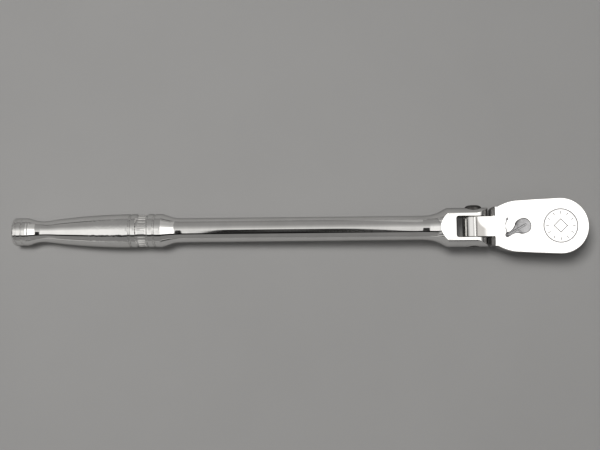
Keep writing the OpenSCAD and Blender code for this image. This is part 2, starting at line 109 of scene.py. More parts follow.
def metal(name, light, dark, rough, rough_var, bump=0.1, scale=900.0, stretch=None,
          scratches=0.0, edge=0.0, grain=False, tang=False, distance=0.00002):
    """A metal with mottled colour, uneven gloss, fine scratches and, with edge, softened corners."""
    m = D.materials.new(name)
    t = nt(m)
    out = add(t, "ShaderNodeOutputMaterial")
    b = add(t, "ShaderNodeBsdfPrincipled")
    b.inputs["Metallic"].default_value = 1.0
    b.inputs["Specular Tint"].default_value = (0.45, 0.45, 0.45, 1)
    oc = add(t, "ShaderNodeTexCoord").outputs["Object"]
    broad = noise(t, oc, scale * 0.1, 4.0)
    fine = noise(t, oc, scale, 7.0, 0.65, stretch)
    # long thin scratches: strongly stretched noise, kept where it peaks, broken up by a broad mask
    lines = noise(t, oc, 1.0, 3.0, 0.5, (60, 2600, 2600))
    marks = remap(t, lines, 0.63, 0.70)
    marks = math_(t, "MULTIPLY", marks, remap(t, broad, 0.45, 0.62))
    tone = math_(t, "MULTIPLY_ADD", marks, -0.35 * min(1.0, scratches * 3), broad)
    col = ramp(t, [(0.3, dark), (0.62, light)], tone)
    if tang:
        # painted shade: a darker patch with a curved border on the tang's face beside its step, standing in for the
        # grey its gently curved surface reflects there
        sp = add(t, "ShaderNodeSeparateXYZ")
        t.links.new(oc, sp.inputs["Vector"])
        dx = math_(t, "ADD", sp.outputs["X"], 0.0340)
        dy = math_(t, "ADD", sp.outputs["Y"], -0.0060)
        far = math_(t, "SQRT", math_(t, "ADD", math_(t, "MULTIPLY", dx, dx), math_(t, "MULTIPLY", dy, dy)))
        painted_tang_shade = math_(t, "MULTIPLY", remap(t, far, 0.0064, 0.0084, smooth=True), remap(t, sp.outputs["X"], -0.0352, -0.0385, smooth=True))
        painted_tang_shade = math_(t, "MULTIPLY", painted_tang_shade, remap(t, sp.outputs["X"], -0.0419, -0.0417))
        mx = add(t, "ShaderNodeMix", data_type="RGBA")
        t.links.new(painted_tang_shade, mx.inputs[0]); t.links.new(col, mx.inputs[6]); mx.inputs[7].default_value = (0.36, 0.35, 0.34, 1)
        col = mx.outputs[2]
    t.links.new(col, b.inputs["Base Color"])
    r = remap(t, fine, 0.3, 0.7, rough, rough + rough_var)
    r = math_(t, "ADD", r, math_(t, "MULTIPLY", marks, scratches))
    smear = remap(t, noise(t, oc, scale * 0.03, 3.0, 0.5), 0.5, 0.75, 0.0, rough_var)
    r = math_(t, "ADD", r, smear, clamp=True)
    t.links.new(r, b.inputs["Roughness"])
    height = fine
    strength = bump
    bm = add(t, "ShaderNodeBump")
    bm.inputs["Distance"].default_value = distance
    bm.inputs["Strength"].default_value = bump
    if grain:
        # a band of the grip has a fine, sparkling grain left under the plating
        sx = add(t, "ShaderNodeSeparateXYZ")
        t.links.new(oc, sx.inputs["Vector"])
        band = math_(t, "MULTIPLY", remap(t, sx.outputs["X"], -0.2440, -0.2340, smooth=True),
                     remap(t, sx.outputs["X"], -0.2175, -0.2205, smooth=True))
        spot = noise(t, oc, 850.0, 2.0, 0.5)
    t.links.new(height, bm.inputs["Height"])
    if grain:
        g2 = add(t, "ShaderNodeBump")
        g2.inputs["Distance"].default_value = 0.00010
        g2.inputs["Strength"].default_value = 0.55
        t.links.new(math_(t, "MULTIPLY", spot, band), g2.inputs["Height"])
        t.links.new(g2.outputs["Normal"], bm.inputs["Normal"])
    if edge:
        bv = add(t, "ShaderNodeBevel", samples=4)
        bv.inputs["Radius"].default_value = edge
        t.links.new(bv.outputs["Normal"], bm.inputs["Normal"])
    t.links.new(bm.outputs["Normal"], b.inputs["Normal"])
    t.links.new(b.outputs["BSDF"], out.inputs["Surface"])
    return m

CHROME = metal("chrome", (0.90, 0.895, 0.885), (0.83, 0.825, 0.815), 0.025, 0.035, 0.03, scratches=0.10, grain=True)
CHROME_CAD = metal("chrome_drive", (0.80, 0.80, 0.80), (0.70, 0.70, 0.70), 0.10, 0.08, 0.2, scratches=0.25, edge=0.00015)
MARK = metal("etched_mark", (0.40, 0.40, 0.41), (0.28, 0.28, 0.29), 0.38, 0.15, 0.5, scale=2500.0)
# the head's chrome, with the painted shade patch on the tang's face beside its step
CHROME_HEAD = metal("chrome_head", (0.90, 0.895, 0.885), (0.84, 0.835, 0.825), 0.025, 0.035, 0.03, scratches=0.10, tang=True)
# a darker, rougher copy of the chrome: painted reflection, standing in for the grey of the room that the neck block's
# faces show instead of the white panel
PAINTED_GREY_CHROME = metal("chrome_painted_reflection", (0.40, 0.395, 0.39), (0.28, 0.275, 0.27), 0.48, 0.15, 0.3, scale=1500.0)
SATIN = metal("satin_lever", (0.38, 0.38, 0.39), (0.27, 0.27, 0.28), 0.20, 0.14, 0.5, scale=1800.0, scratches=0.2)
BLACK = metal("black_oxide", (0.15, 0.145, 0.14), (0.06, 0.058, 0.056), 0.22, 0.16, 0.5, scale=1600.0, scratches=0.2, edge=0.0001)
STEEL = metal("ground_steel", (0.60, 0.60, 0.58), (0.48, 0.475, 0.46), 0.20, 0.14, 0.35, stretch=(1, 10, 1), scratches=0.3, edge=0.0001)
SPRING = metal("spring_steel", (0.52, 0.52, 0.53), (0.40, 0.40, 0.41), 0.25, 0.1, 0.3)

def rubber(name):
    m = D.materials.new(name)
    t = nt(m)
    out = add(t, "ShaderNodeOutputMaterial")
    b = add(t, "ShaderNodeBsdfPrincipled")
    oc = add(t, "ShaderNodeTexCoord").outputs["Object"]
    n = noise(t, oc, 1500.0)
    t.links.new(ramp(t, [(0.3, 0.013), (0.7, 0.03)], n), b.inputs["Base Color"])
    t.links.new(remap(t, n, 0.3, 0.7, 0.5, 0.75), b.inputs["Roughness"])
    t.links.new(b.outputs["BSDF"], out.inputs["Surface"])
    return m

RUB = rubber("seal_rubber")
SLOTS = {"polished_chrome": CHROME_CAD, "satin_lever": SATIN, "black_oxide": BLACK,
         "ground_steel": STEEL, "spring_steel": SPRING, "seal_rubber": RUB}
by_node = {p["node"]: p["material_slot"] for p in frame["record"]["subparts"]}
for name, o in frame["nodes"].items():
    o.data.materials.clear()
    o.data.materials.append(SLOTS[by_node[name]])

# ------------------------------------------------------------------ mesh helpers (millimetres in, metres out)

def mesh_obj(name, verts, faces):
    me = D.meshes.new(name)
    me.from_pydata([(x * MM, y * MM, z * MM) for x, y, z in verts], [], faces)
    me.validate()
    bm = bmesh.new()
    bm.from_mesh(me)
    bmesh.ops.recalc_face_normals(bm, faces=bm.faces)
    bm.to_mesh(me)
    bm.free()
    o = D.objects.new(name, me)
    S.collection.objects.link(o)
    return o

def loft(rings, close0=True, close1=True):
    """Verts and faces of a tube through rings of equal length."""
    n = len(rings[0])
    v = [p for r in rings for p in r]
    f = []
    for k in range(len(rings) - 1):
        for i in range(n):
            j = (i + 1) % n
            f.append((k * n + i, k * n + j, (k + 1) * n + j, (k + 1) * n + i))
    if close0:
        f.append(tuple(range(n - 1, -1, -1)))
    if close1:
        f.append(tuple((len(rings) - 1) * n + i for i in range(n)))
    return v, f

AX = {"X": lambda r, c, s, h: (h, r * c, r * s), "Y": lambda r, c, s, h: (r * s, h, r * c), "Z": lambda r, c, s, h: (r * c, r * s, h)}

def turned(name, profile, axis="Z", at=(0, 0, 0), n=96, phase=0.0):
    """A solid of revolution from (radius, height) pairs; a radius of 0 closes an end."""
    rings = []
    for r, h in profile:
        r = max(r, 1e-4)
        rings.append([tuple(p + q for p, q in zip(AX[axis](r, math.cos(phase + 2 * math.pi * i / n), math.sin(phase + 2 * math.pi * i / n), h), at)) for i in range(n)])
    return mesh_obj(name, *loft(rings))

def prism(name, pts, z0, z1, edge=0.0, steps=3, bottom=0.0):
    """A closed outline in x, y raised from z0 to z1, with its top edge rounded by edge (and its bottom by bottom)."""
    nor = normals2(pts)
    rings = []
    if bottom:
        for k in range(steps, 0, -1):
            a = math.pi / 2 * k / steps
            rings.append([(p[0] - m[0] * bottom * (1 - math.cos(a)), p[1] - m[1] * bottom * (1 - math.cos(a)), z0 + bottom * (1 - math.sin(a))) for p, m in zip(pts, nor)])
    rings.append([(p[0], p[1], z0 + bottom) for p in pts])
    rings.append([(p[0], p[1], z1 - edge) for p in pts])
    if edge:
        for k in range(1, steps + 1):
            a = math.pi / 2 * k / steps
            rings.append([(p[0] - m[0] * edge * (1 - math.cos(a)), p[1] - m[1] * edge * (1 - math.cos(a)), z1 - edge * (1 - math.sin(a))) for p, m in zip(pts, nor)])
    return mesh_obj(name, *loft(rings))

def normals2(pts):
    """Outward normals of a closed outline that runs anticlockwise."""
    out = []
    n = len(pts)
    for i in range(n):
        a, p, c = pts[i - 1], pts[i], pts[(i + 1) % n]
        u = Vector((p[0] - a[0], p[1] - a[1])).normalized()
        w = Vector((c[0] - p[0], c[1] - p[1])).normalized()
        m = (Vector((u.y, -u.x)) + Vector((w.y, -w.x)))
        if m.length < 1e-6:
            m = Vector((u.y, -u.x))
        m.normalize()
        k = max(0.6, m.dot(Vector((u.y, -u.x))))
        out.append((m.x / k, m.y / k))
    return out

def anticlockwise(pts):
    a = sum(pts[i - 1][0] * pts[i][1] - pts[i][0] * pts[i - 1][1] for i in range(len(pts)))
    return pts if a > 0 else pts[::-1]

def arc(cx, cy, r, a0, a1, n):
    return [(cx + r * math.cos(math.radians(a0 + (a1 - a0) * i / n)), cy + r * math.sin(math.radians(a0 + (a1 - a0) * i / n))) for i in range(n + 1)]

def moved(o, m):
    o.data.transform(m)
    return o

def bake(o):
    dg = bpy.context.evaluated_depsgraph_get()
    me = D.meshes.new_from_object(o.evaluated_get(dg), preserve_all_data_layers=True, depsgraph=dg)
    old = o.data
    o.modifiers.clear()
    o.data = me
    D.meshes.remove(old)
    return o

def joined(name, parts):
    """Several meshes as one object, for use as a cutter."""
    bm = bmesh.new()
    for p in parts:
        bm.from_mesh(p.data)
    me = D.meshes.new(name)
    bm.to_mesh(me)
    bm.free()
    for p in parts:
        D.objects.remove(p)
    o = D.objects.new(name, me)
    S.collection.objects.link(o)
    return o

def combine(o, other, op="DIFFERENCE", own=False):
    m = o.modifiers.new("b", "BOOLEAN")
    m.object, m.operation, m.solver = other, op, "EXACT"
    m.use_self = own
    bake(o)
    D.objects.remove(other)
    return o

def finish_mesh(o, mat, sharp=42.0, bevel=0.0, bevel_angle=55.0):
    """Bevels what is still square, then shades smooth with large faces kept flat."""
    me = o.data
    if bevel:
        m = o.modifiers.new("bevel", "BEVEL")
        m.width, m.segments, m.limit_method, m.angle_limit = bevel * MM, 2, "ANGLE", math.radians(bevel_angle)
        m.use_clamp_overlap = True
        bake(o)
        me = o.data
    bm = bmesh.new()
    bm.from_mesh(me)
    bmesh.ops.remove_doubles(bm, verts=bm.verts, dist=2e-6)
    bmesh.ops.dissolve_degenerate(bm, edges=bm.edges, dist=2e-6)
    for f in bm.faces:
        f.smooth = True
    for e in bm.edges:
        e.smooth = not (len(e.link_faces) == 2 and e.calc_face_angle(0) > math.radians(sharp))
    bm.to_mesh(me)
    bm.free()
    w = o.modifiers.new("weighted", "WEIGHTED_NORMAL")
    w.keep_sharp, w.weight, w.mode = True, 50, "FACE_AREA"
    bake(o)
    o.data.materials.clear()
    for x in (mat if isinstance(mat, (list, tuple)) else [mat]):
        o.data.materials.append(x)
    return o

def hermite(st, n):
    """A smooth curve through (x, r) stations, the same one as the CAD's."""
    def slope(i):
        if i == 0: return (st[1][1] - st[0][1]) / (st[1][0] - st[0][0])
        if i == len(st) - 1: return (st[i][1] - st[i - 1][1]) / (st[i][0] - st[i - 1][0])
        return (st[i + 1][1] - st[i - 1][1]) / (st[i + 1][0] - st[i - 1][0])
    out = []
    for i in range(len(st) - 1):
        d = st[i + 1][0] - st[i][0]
        m0, m1 = slope(i) * d, slope(i + 1) * d
        for j in range(n + (i == len(st) - 2)):
            u = j / n
            out.append((st[i][0] + u * d, (2 * u**3 - 3 * u**2 + 1) * st[i][1] + (u**3 - 2 * u**2 + u) * m0
                        + (3 * u**2 - 2 * u**3) * st[i + 1][1] + (u**3 - u**2) * m1))
    return out

def soften(p, rad, n=3, turn=12.0):
    """Rounds the corners of an open profile."""
    out = [p[0]]
    for i in range(1, len(p) - 1):
        a, b, c = Vector(p[i - 1]), Vector(p[i]), Vector(p[i + 1])
        u, w = (a - b), (c - b)
        if u.length < 1e-6 or w.length < 1e-6:
            continue
        ang = 180 - math.degrees(u.angle(w))
        if ang < turn:
            out.append(tuple(b))
            continue
        d = min(rad, 0.45 * u.length, 0.45 * w.length)
        q0, q1 = b + u.normalized() * d, b + w.normalized() * d
        for k in range(n + 1):
            s = k / n
            out.append(tuple(q0 * (1 - s) ** 2 + b * 2 * s * (1 - s) + q1 * s * s))
    out.append(p[-1])
    return out

# ------------------------------------------------------------------ dimensions shared with the CAD, in millimetres

ZLO, ZHI, ZC = 0.5, 12.7, 6.6
XP, XS, XL = -42.6, -32.6, -18.75
HX = -277.8
YR, YT = 9.95, 7.25

# ------------------------------------------------------------------ handle

flare = hermite([(XP - 26, 6.12), (XP - 22, 6.4), (XP - 18.8, 7.27), (XP - 16.8, 8.18), (XP - 14.7, 9.37), (XP - 13.6, YR - 0.1), (XP - 13.2, YR)], 8)
profile = [(HX, 0.05), (HX, 3.0), (HX, 5.9), (HX + 0.15, 6.4), (HX + 0.5, 6.85), (HX + 1.1, 7.1)]
for g in (2.0, 4.9):
    profile += [(HX + g - 0.45, 7.1), (HX + g - 0.2, 6.6), (HX + g + 0.2, 6.6), (HX + g + 0.45, 7.1)]
profile += [(HX + 7.3, 7.1)]
profile += [(HX + x, r) for x, r in hermite([(7.8, 6.85), (8.6, 6.75), (9.8, 6.25), (11.4, 5.8), (12.4, 5.6), (16, 5.37), (23.4, 6.32), (33.9, 7.4), (44.3, 8.16), (54.7, 8.52), (58.8, 8.6)], 8)]
profile += [(HX + x, r) for x, r in ((60.1, 8.6), (60.4, 8.0), (61.0, 8.0), (61.3, 8.5), (61.5, 8.6), (63.7, 8.6), (64.1, 7.85), (69.5, 7.85), (69.9, 8.5), (70.1, 8.55), (72.4, 8.55), (72.7, 8.0), (73.3, 8.0), (73.6, 8.55))]
profile += [(HX + x, r) for x, r in hermite([(76.7, 8.55), (80.5, 7.25), (82.6, 6.6), (85.7, 6.27), (92, 6.23)], 8)]
profile = soften(profile, 0.10)
last = profile[-1]
# the shaft, in even steps
for i in range(1, 40):
    u = i / 40
    profile.append((last[0] + (flare[0][0] - last[0]) * u, last[1] + (flare[0][1] - last[1]) * u))

def flat_h(x):
    """Half-thickness between the yoke's flats, which rise a little where they run out."""
    if x >= XP - 13.4: return YT
    if x >= XP - 16.6: return YT + 0.68 * (XP - 13.4 - x) / 3.2
    return YT + 0.68 + 0.72 * (XP - 16.6 - x) / 7.4

NA, NF, NG, NM, NW = 26, 4, 4, 4, 6
RC = 0.42
TOP = math.radians(86)

def quarter(r, h, ys=None, rc=RC, inset=0.0):
    """A quarter of the section, from (r, 0) up and over to (0, h); ys splits the flat for the slot."""
    r = r - inset
    rc = min(rc, 0.8 * h)
    s = 2.0 if r <= h else (h - rc) / (r - rc)
    if s >= math.sin(TOP):
        th, rr = TOP, r
        A = [(r * math.cos(th * k / NA), r * math.sin(th * k / NA)) for k in range(NA + 1)]
        rest = NF + NG + NM
        q = [math.radians(86 + 4 * (k / rest)) for k in range(1, rest + 1)]
        return A + [(r * math.cos(a) if k < rest - 1 else 0.0, min(r * math.sin(a), h)) for k, a in enumerate(q)]
    th = math.asin(s)
    A = [(r * math.cos(th * k / NA), r * math.sin(th * k / NA)) for k in range(NA + 1)]
    cy, cz = (r - rc) * math.cos(th), h - rc
    F = [(cy + rc * math.cos(th + (math.pi / 2 - th) * k / NF), cz + rc * math.sin(th + (math.pi / 2 - th) * k / NF)) for k in range(1, NF + 1)]
    if ys is None:
        ys = cy * 0.62
    G = [(cy + (ys - cy) * k / NG, h) for k in range(1, NG + 1)]
    M = [(ys * (1 - k / NM), h) for k in range(1, NM + 1)]
    return A + F + G + M

def ring(x, q):
    """The whole section from its quarter, anticlockwise seen along +X."""
    K = len(q) - 1
    pts = [(y, z) for y, z in q] + [(-y, z) for y, z in q[K - 1:0:-1]] + [(-y, -z) for y, z in q] + [(y, -z) for y, z in q[K - 1:0:-1]]
    return [(x, y, ZC + z) for y, z in pts]

rings = [ring(x, quarter(r, 50.0)) for x, r in profile]
def flare_r(x):
    for (a, ra), (b, rb) in zip(flare, flare[1:]):
        if a <= x <= b:
            return ra + (rb - ra) * (x - a) / (b - a)
    return YR if x > flare[-1][0] else flare[0][1]
xs_ = [flare[0][0] + i * 0.5 for i in range(14)]
x = xs_[-1] + 0.25
while x < XP - 12.9:
    xs_.append(x); x += 0.2
xs_ += [XP - 12.4, XP - 11.6, XP - 10.8, XP - 10.2, XP - 9.8, XP - 9.4]
SX0 = XP - 9.4
for x in xs_:
    r, h = flare_r(x), flat_h(x)
    ys = None
    if x > XP - 12.5:
        ys = 4.2
    rings.append(ring(x, quarter(r, h, ys)))
verts, faces = loft(rings, True, False)
N = len(rings[0])
base = (len(rings) - 1) * N
K = NA + NF + NG + NM
iS = NA + NF + NG

def quad_idx(side_y, upper, k):
    """Index in a ring of quarter point k on that side."""
    if side_y > 0 and upper: return k
    if side_y < 0 and upper: return (2 * K - k) % (4 * K)
    if side_y < 0 and not upper: return (2 * K + k) % (4 * K)
    return (4 * K - k) % (4 * K)

# the slot's bottom and the two ears
ear_x = []
for k in range(1, 7):
    a = math.radians(15 * k)
    ear_x.append((XP - 9.4 + 1.2 - 1.2 * math.cos(a), 4.2 + 1.2 * math.sin(a)))
for k in range(1, 10):
    ear_x.append((XP - 8.2 + (8.2 + 0.85) * k / 9, 5.4))
t0 = math.degrees(math.asin(0.85 / 7.3))
for k in range(1, 16):
    a = math.radians(t0 + (85 - t0) * k / 15)
    ear_x.append((XP + 7.3 * math.sin(a), 5.4))

def ear_loop(side, x, w):
    h = YT
    if x > XP:
        h = min(YT, math.sqrt(max(0.01, 7.3 ** 2 - (x - XP) ** 2)))
    d = XP + 7.3 - x
    ins = 0.35 - math.sqrt(max(0, 0.35 ** 2 - (0.35 - d) ** 2)) if d < 0.35 else 0.0
    q = quarter(YR, h, w, inset=ins)[:iS + 1]
    top = [(x, side * y, ZC + z) for y, z in q]
    wall = [(x, side * w, ZC + h * (1 - 2 * j / (NW + 1))) for j in range(1, NW + 1)]
    bot = [(x, side * y, ZC - z) for y, z in q[:0:-1]]
    return top + wall + bot

cap_walls = {}
for side in (1, -1):
    first = [base + quad_idx(side, True, k) for k in range(iS + 1)]
    wall_i = []
    for j in range(1, NW + 1):
        verts.append((SX0, side * 4.2, ZC + YT * (1 - 2 * j / (NW + 1))))
        wall_i.append(len(verts) - 1)
    cap_walls[side] = wall_i
    low = [base + quad_idx(side, False, k) for k in range(iS, 0, -1)]
    prev = first + wall_i + low
    for x, w in ear_x:
        loop = ear_loop(side, x, w)
        cur = list(range(len(verts), len(verts) + len(loop)))
        verts += loop
        for i in range(len(cur)):
            j = (i + 1) % len(cur)
            faces.append((prev[i], prev[j], cur[j], cur[i]))
        prev = cur
    faces.append(tuple(prev))
top = [base + quad_idx(1, True, k) for k in range(iS, K + 1)] + [base + quad_idx(-1, True, k) for k in range(K - 1, iS - 1, -1)]
bot = [base + quad_idx(-1, False, k) for k in range(iS, K + 1)] + [base + quad_idx(1, False, k) for k in range(K - 1, iS - 1, -1)]
faces.append(tuple(top + cap_walls[-1] + bot + cap_walls[1][::-1]))
handle = mesh_obj("handle_shell", verts, faces)
m = handle.modifiers.new("bevel", "BEVEL")
m.width, m.segments, m.limit_method, m.angle_limit = 0.2 * MM, 2, "ANGLE", math.radians(55)
bake(handle)
combine(handle, turned("c1", [(0, -12), (3.05, -12), (3.05, 12), (0, 12)], "Y", (XP, 0, ZC), 64))
combine(handle, turned("c2", [(0, YR - 0.95), (4.6, YR - 0.95), (4.6, 12), (0, 12)], "Y", (XP, 0, ZC), 96))
finish_mesh(handle, CHROME)
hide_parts("handle_bar"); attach(handle, "handle")

# raised bars in the collar's sunk band
pads_v, pads_f = [], []
for i in range(28):
    a = 2 * math.pi * (i + 0.5) / 28
    out = anticlockwise(arc(1.65, 0.2, 0.25, 0, 90, 3) + arc(-1.65, 0.2, 0.25, 90, 180, 3) + arc(-1.65, -0.2, 0.25, 180, 270, 3) + arc(1.65, -0.2, 0.25, 270, 360, 3))
    nr = normals2(out)
    rr = []
    for e, r in ((0, 7.7), (0, 8.08), (0.05, 8.18), (0.14, 8.23)):
        row = []
        for p, q in zip(out, nr):
            u, w = p[0] - q[0] * e, p[1] - q[1] * e
            b = a + w / 8.0
            row.append((HX + 66.8 + u, r * math.cos(b), ZC + r * math.sin(b)))
        rr.append(row)
    v, f = loft(rr)
    k = len(pads_v)
    pads_v += v
    pads_f += [tuple(q + k for q in g) for g in f]
bars = mesh_obj("collar_bars", pads_v, pads_f)
finish_mesh(bars, CHROME, sharp=60)
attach(bars, "handle")

# ------------------------------------------------------------------ pivot screw

prof = [(0, -YR + 0.35), (2.4, -YR + 0.35), (2.6, -YR + 0.4), (3.0, -YR + 0.85), (3.0, 9.0), (4.2, 9.0), (4.33, 9.08), (4.35, 9.2), (4.35, 9.42)]
prof += [(1.9 + 2.45 * math.cos(math.radians(90 * k / 10)), 9.45 + 1.7 * math.sin(math.radians(90 * k / 10))) for k in range(1, 11)]
prof += [(0, 11.15)]
screw = turned("pivot_cap", prof, "Y", (XP, 0, ZC), 96)
hexc = turned("c", [(0, 9.7), (1.55, 9.7), (1.55, 10.95), (1.85, 11.3), (0, 11.3)], "Y", (XP, 0, ZC), 6)
combine(screw, hexc)
finish_mesh(screw, BLACK, sharp=38)
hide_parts("pivot_screw"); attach(screw, "handle")

# ------------------------------------------------------------------ head

side_c = (-20.4, 7.4)
x_neck, neck_w, tang_w = XS - 1.8, 9.9, 5.1
half = arc(0, 0, 14.1, 0, 92.8, 46) + [(-3.3, 14.1 - 0.12), (-6, 14.1 - 0.26), (-9.6, 14.1 - 0.41), (-13.3, 14.1 - 0.56), (-17, 13.3)]
for i in range(0, 25):
    x = side_c[0] + (XS + 1.3 - side_c[0]) * i / 24
    half.append((x, math.sqrt(20.5 ** 2 - (x - side_c[0]) ** 2) - side_c[1]))
half += arc(x_neck + 1.3, neck_w - 1.3, 1.3, 90, 180, 8)
half += [(x_neck, 8.0), (x_neck, 7.2)]
half += arc(x_neck - 1, tang_w + 1, 1, 0, -90, 8)
half += [(-36.6, tang_w), (-38.4, tang_w), (-40.2, tang_w), (XP + 1.0, tang_w)]
mid = [(XP + 1.0, 2.5), (XP + 1.0, 0.0), (XP + 1.0, -2.5)]
outline = anticlockwise(half + mid + [(x, -y) for x, y in half[::-1]][:-1])
clean = []
for p in outline:
    if not clean or math.hypot(p[0] - clean[-1][0], p[1] - clean[-1][1]) > 0.03:
        clean.append(p)
outline = clean
nor = normals2(outline)

def soft_r(p):
    """Radius of the head's edge: fuller round the body, finer at the neck and tang."""
    u = min(1, max(0, (p[0] + 33.0) / 5.0))
    return 0.25 + (0.42 - 0.25) * u

def level(h, e_of):
    out = []
    for p, m in zip(outline, nor):
        x, y = p
        if abs(y) > tang_w + 0.005:
            xf = x_neck + max(0.0, abs(h(p)) - 3.5) * (2.0 / 2.889)
            x = max(x, xf)
        e = e_of(p)
        out.append((x - m[0] * e, y - m[1] * e, ZC + h(p)))
    return out
lv = []
nf = 5
for k in range(nf, 0, -1):
    a = math.pi / 2 * k / nf
    lv.append(level(lambda p: -(6.1 - 0.6 * soft_r(p) * (1 - math.sin(a))), lambda p: 0.6 * soft_r(p) * (1 - math.cos(a))))
for h in (-5.6, -4.9, -4.2, -3.5, 0.0, 3.5, 4.2, 4.9):
    lv.append(level(lambda p, h=h: h, lambda p: 0.0))
lv.append(level(lambda p: 6.1 - soft_r(p), lambda p: 0.0))
for k in range(1, nf + 1):
    a = math.pi / 2 * k / nf
    lv.append(level(lambda p: 6.1 - soft_r(p) * (1 - math.sin(a)), lambda p: soft_r(p) * (1 - math.cos(a))))
head = mesh_obj("head_shell", *loft(lv))
kn = 5.1 - 0.01
rim = [(0, -kn)] + [(5.5 - 0.35 + 0.35 * math.sin(math.radians(90 * k / 4)), -kn + 0.35 - 0.35 * math.cos(math.radians(90 * k / 4))) for k in range(5)]
rim += [(r, -h) for r, h in rim[::-1]]
combine(head, turned("k", rim, "Y", (XP, 0, ZC), 128), "UNION")
cuts = [turned("c", [(0, -12), (3.05, -12), (3.05, 12), (0, 12)], "Y", (XP, 0, ZC), 64)]
for s in (-1, 1):
    cuts.append(turned("c", [(0, -8), (0.45, -8), (0.45, 8), (0, 8)], "Y", (XP + 0.8, 0, ZC + s * 5.6), 24))
combine(head, joined("cuts", cuts), own=True)

def cyl(r, z0, z1, c=(0, 0), n=64):
    return turned("c", [(0, z0), (r, z0), (r, z1), (0, z1)], "Z", (c[0], c[1], 0), n)
def box(x0, x1, y0, y1, z0, z1):
    return prism("c", [(x0, y0), (x1, y0), (x1, y1), (x0, y1)], z0, z1)
cuts = [cyl(11.7, 2.3, 10.0, n=96), cyl(8.05, 9.0, 11.3), cyl(12.41, -0.5, 2.8, n=128), cyl(13.0, 0.85, 1.6, n=128)]
pl = [(-5, 11.06), (-14.4, 11.16), (-21.5, 8.36), (-28.66, 3.96), (-31.06, 1.6)]
plate = anticlockwise(pl + [(x, -y) for x, y in pl[::-1]])
cuts.append(prism("c", plate, -0.5, 2.8))
for s in (-1, 1):
    A = Matrix.Rotation(math.radians(180 - 30) * s, 4, "Z") if s > 0 else Matrix.Rotation(math.radians(-(180 - 30)), 4, "Z")
    # the guide is drawn along x, then turned to the pawl's direction; the foot lies towards the centre line
    g = [box(9, 16.25, -2.65, 2.65, 2.3, 10.0), (box(13.45, 16.75, 0, 5.7, 2.3, 10.0) if s > 0 else box(13.45, 16.75, -5.7, 0, 2.3, 10.0)),
         turned("c", [(0, 15), (1.2, 15), (1.2, 20.2), (0, 20.2)], "X", (0, 0, ZC), 32)]
    cuts += [moved(o, A) for o in g]
cuts.append(cyl(4.7, 2.3, 10.0, (XL, 0)))
pts = arc(XL, 0, 5.4, -79, 79, 30)
cuts.append(prism("c", pts, 2.3, 10.0))
cuts += [cyl(3.05, 9.0, 14.0, (XL, 0)), cyl(4.25, 10.75, 12.0, (XL, 0)), cyl(4.16, 12.3, 14.3, (XL, 0), 96), cyl(1.3, 1.8, 6.0, (-27.4, 0), 32)]
cuts.append(turned("c", [(0, XL - 4 - 7.4), (1.2, XL - 4 - 7.4), (1.2, XL - 4), (0, XL - 4)], "X", (0, 0, ZC + 1.1), 32))
for c in cuts:
    combine(head, c)

def tube(r0, r1, z0, z1, n=144):
    rings = [[(r * math.cos(2 * math.pi * i / n), r * math.sin(2 * math.pi * i / n), z) for i in range(n)] for r, z in ((r0, z0), (r1, z0), (r1, z1), (r0, z1))]
    v = [p for q in rings for p in q]
    f = [(k * n + i, k * n + (i + 1) % n, ((k + 1) % 4) * n + (i + 1) % n, ((k + 1) % 4) * n + i) for k in range(4) for i in range(n)]
    return mesh_obj("c", v, f)
cuts = [tube(8.05, 8.65, 12.5, 13.2)]
for a in range(0, 360, 30):
    cuts.append(moved(box(5.85, 7.35, -0.22, 0.22, 12.5, 13.2), Matrix.Rotation(math.radians(a), 4, "Z")))
sq = []
for a, b in ((2.6, 2.1),):
    v = [(x * k, y * k, z) for z in (12.5, 13.2) for k in (a, b) for x, y in ((1, 1), (-1, 1), (-1, -1), (1, -1))]
    f = []
    for i in range(4):
        j = (i + 1) % 4
        f += [(i, j, 4 + j, 4 + i), (8 + i, 12 + i, 12 + j, 8 + j), (i, 8 + i, 8 + j, j), (4 + i, 4 + j, 12 + j, 12 + i)]
    sq = moved(mesh_obj("c", v, f), Matrix.Rotation(math.radians(45), 4, "Z"))
cuts.append(sq)
for s in (-1, 1):
    w, tip = 0.26, 95 / 8.6
    p = arc(0, 0, 8.6 + w, 176, 148 + tip, 8)
    a1 = math.radians(148 + tip)
    p += [(9.5 * math.cos(a1), 9.5 * math.sin(a1)), (8.6 * math.cos(math.radians(148)), 8.6 * math.sin(math.radians(148))), (7.7 * math.cos(a1), 7.7 * math.sin(a1))]
    p += arc(0, 0, 8.6 - w, 148 + tip, 176, 8)
    p = anticlockwise([(x + XL, s * y) for x, y in p])
    cuts.append(prism("c", p, 12.55, 13.2))
combine(head, joined("cuts", cuts))
finish_mesh(head, [CHROME_HEAD, MARK, PAINTED_GREY_CHROME], sharp=40)
# groove faces of the marks take the etched colour; the neck block's faces towards the yoke take the darker chrome, a
# painted reflection of the grey room
for f in head.data.polygons:
    c, n = f.center / MM, f.normal
    if 12.45 < c.z < 12.68 and (c.xy.length < 8.8 or (abs((c.xy - Vector((XL, 0))).length - 8.6) < 1.0 and c.x < XL - 6)) and (n.z > 0.9 or abs(n.z) < 0.2):
        f.material_index = 1
    elif c.x < -32.35 and abs(c.y) > 5.35 and n.x < -0.3:
        f.material_index = 2
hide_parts("head_body"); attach(head, "head")

# ------------------------------------------------------------------ reversing lever

